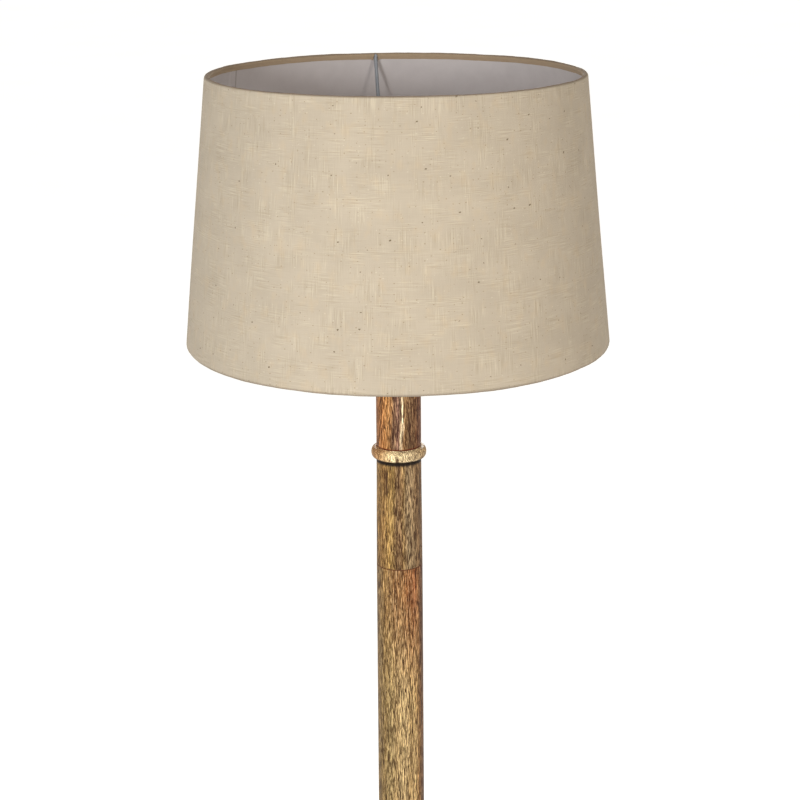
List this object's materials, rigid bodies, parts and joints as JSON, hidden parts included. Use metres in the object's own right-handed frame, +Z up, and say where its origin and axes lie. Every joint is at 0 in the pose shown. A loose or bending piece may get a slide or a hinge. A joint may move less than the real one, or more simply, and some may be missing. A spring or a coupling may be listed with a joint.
{
  "type": "tripod floor lamp",
  "caption": "Floor lamp: a tapered linen drum shade on a turned wooden column with a raised ring, standing on a tripod of splayed turned legs.",
  "frame": {"origin": "on the floor, on the axis of the column, midway between the feet", "axes": "+Z up along the column; -Y is the front, where one leg points; +X to the right seen from the front"},
  "size_m": [0.4494, 0.4494, 1.52],
  "materials": {
    "mango_wood": "clear satin lacquer over turned mango wood",
    "pale_mango": "clear satin lacquer over paler mango wood",
    "linen": "natural unbleached linen with slubs",
    "white_liner": "matt white lampshade film",
    "painted_wire": "satin light grey powder coat",
    "brass": "brushed antique brass",
    "steel": "zinc plated",
    "black_plastic": "moulded phenolic",
    "porcelain": "unglazed white porcelain",
    "rubber": "matt black rubber",
    "white_plastic": "satin moulded",
    "opal_plastic": "frosted opal",
    "aluminium": "plain",
    "circuit_board": "solder mask"
  },
  "bodies": {
    "stand": {"foot_pad_1": "rubber", "foot_pad_2": "rubber", "foot_pad_3": "rubber", "foot_screws": "steel", "leg_1": "mango_wood", "leg_2": "mango_wood", "leg_3": "mango_wood", "leg_collar_1": "pale_mango", "leg_collar_2": "pale_mango", "leg_collar_3": "pale_mango", "hanger_bolts": "steel", "leg_inserts": "brass", "hub": "mango_wood", "hub_finial": "mango_wood", "cord_bushing": "black_plastic", "column_lower": "mango_wood", "column_upper": "mango_wood", "column_ring": "pale_mango", "column_neck": "mango_wood", "neck_cap": "brass", "draw_tube_lower": "steel", "draw_tube_upper": "steel", "tube_coupler": "brass", "bottom_washer": "steel", "bottom_nut": "steel", "top_washer": "steel", "top_nut": "steel", "holder_base": "brass", "holder_set_screw": "steel", "holder_body": "black_plastic", "terminal_screws": "brass", "holder_skirt": "brass", "socket_core": "porcelain", "socket_shell": "brass", "contact_leaf": "brass", "clamp_ring_lower": "brass", "clamp_ring_upper": "brass"},
    "switch_bar": {"switch_bar": "black_plastic"},
    "bulb_foot": {"bulb_contact": "brass", "bulb_insulator": "black_plastic"},
    "bulb": {"bulb_cap": "steel", "bulb_housing": "white_plastic", "driver_board": "circuit_board", "led_plate": "aluminium", "led_chips": "opal_plastic", "bulb_diffuser": "opal_plastic"},
    "shade": {"fitter_ring": "painted_wire", "shade_arm_1": "painted_wire", "shade_arm_2": "painted_wire", "shade_arm_3": "painted_wire", "top_wire": "painted_wire", "bottom_wire": "painted_wire", "shade_liner": "white_liner", "linen_cover": "linen"}
  },
  "joints": [
    {"name": "switch_push", "type": "slide", "parent": "stand", "child": "switch_bar", "axis": [-1, 0, 0], "range_m": [0, 0.007]},
    {"name": "bulb_rise", "type": "slide", "parent": "stand", "child": "bulb_foot", "axis": [0, 0, 1], "range_m": [0, 0.0218]},
    {"name": "bulb_turn", "type": "hinge", "parent": "bulb_foot", "child": "bulb", "pos_m": [0, 0, 1.4], "axis": [0, 0, 1], "range_deg": [0, 2160]},
    {"name": "shade_turn", "type": "hinge", "parent": "stand", "child": "shade", "pos_m": [0, 0, 1.392], "axis": [0, 0, 1], "continuous": true}
  ],
  "couplings": [
    {"joint": "bulb_rise", "follows": "bulb_turn", "m_per_rad": 0.00057757}
  ]
}
